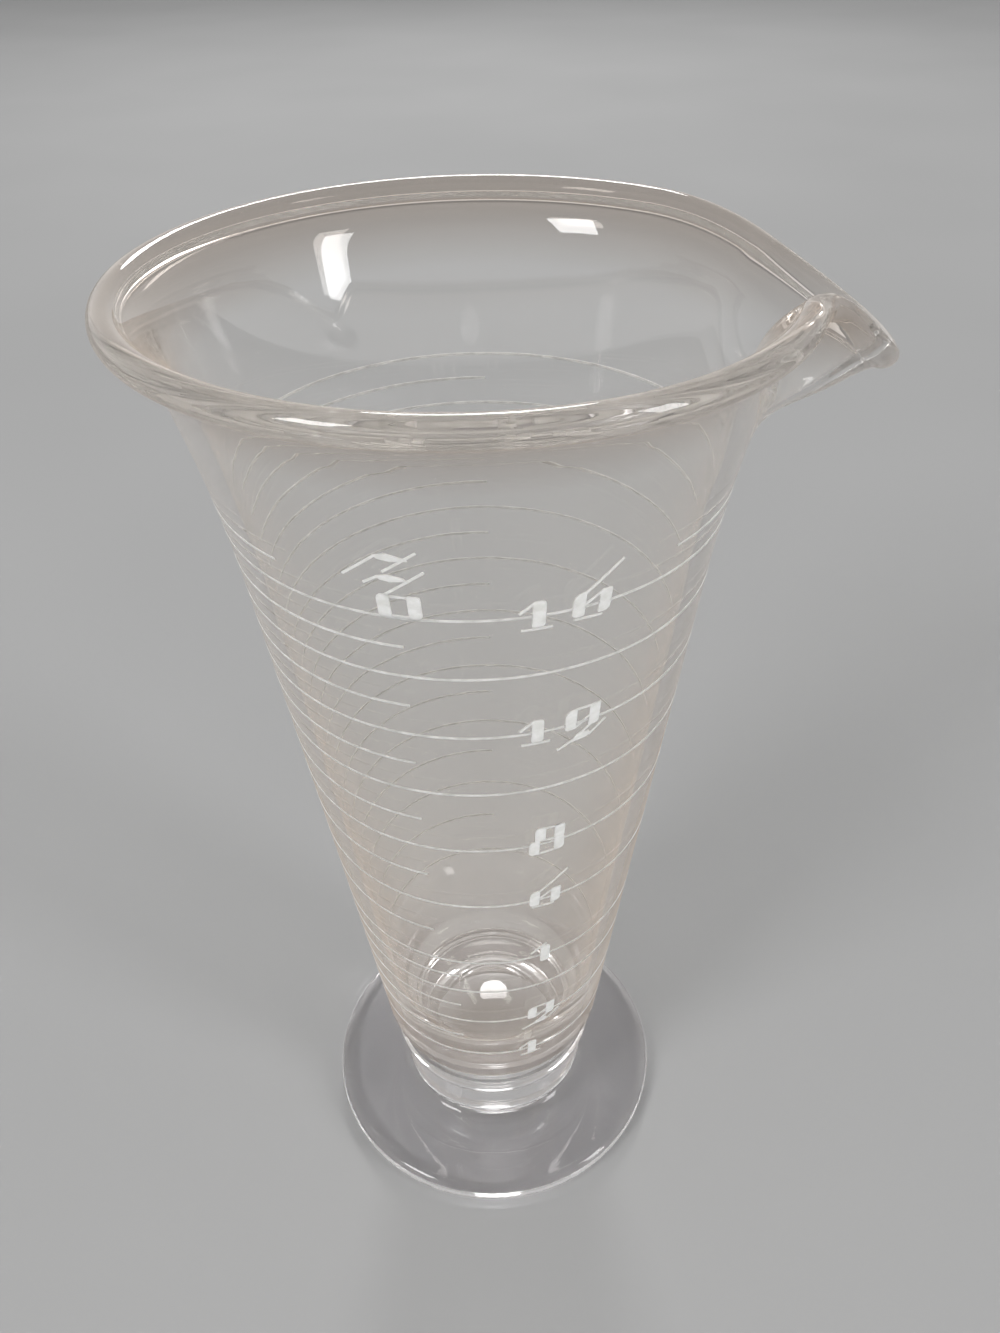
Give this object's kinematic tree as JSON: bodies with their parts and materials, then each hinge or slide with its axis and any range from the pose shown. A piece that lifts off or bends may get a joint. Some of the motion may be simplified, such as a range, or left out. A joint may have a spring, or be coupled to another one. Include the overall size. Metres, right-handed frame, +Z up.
{
  "type": "conical graduate",
  "caption": "Footed conical glass measuring vessel with a flared rolled rim, a pulled pouring lip, and a white cut scale of ounce lines with numerals and metric lines.",
  "frame": {"origin": "middle of the foot's flat underside, on the axis of the bowl", "axes": "+Z up along the axis of the bowl, +X towards the pouring lip"},
  "size_m": [0.1238, 0.1138, 0.2125],
  "materials": {
    "glass": "polished clear glass",
    "cut_lines": "frosted white cut line",
    "cut_numerals": "frosted white filled numeral"
  },
  "bodies": {
    "root": {"bowl": "glass", "neck": "glass", "foot": "glass", "full_ounce_lines": "cut_lines", "odd_ounce_lines": "cut_lines", "half_ounce_lines": "cut_lines", "metric_long_lines": "cut_lines", "metric_short_lines": "cut_lines", "numeral_16": "cut_numerals", "numeral_12": "cut_numerals", "numeral_8": "cut_numerals", "numeral_6": "cut_numerals", "numeral_4": "cut_numerals", "numeral_2": "cut_numerals", "numeral_1": "cut_numerals", "ounce_sign": "cut_numerals"}
  },
  "joints": []
}
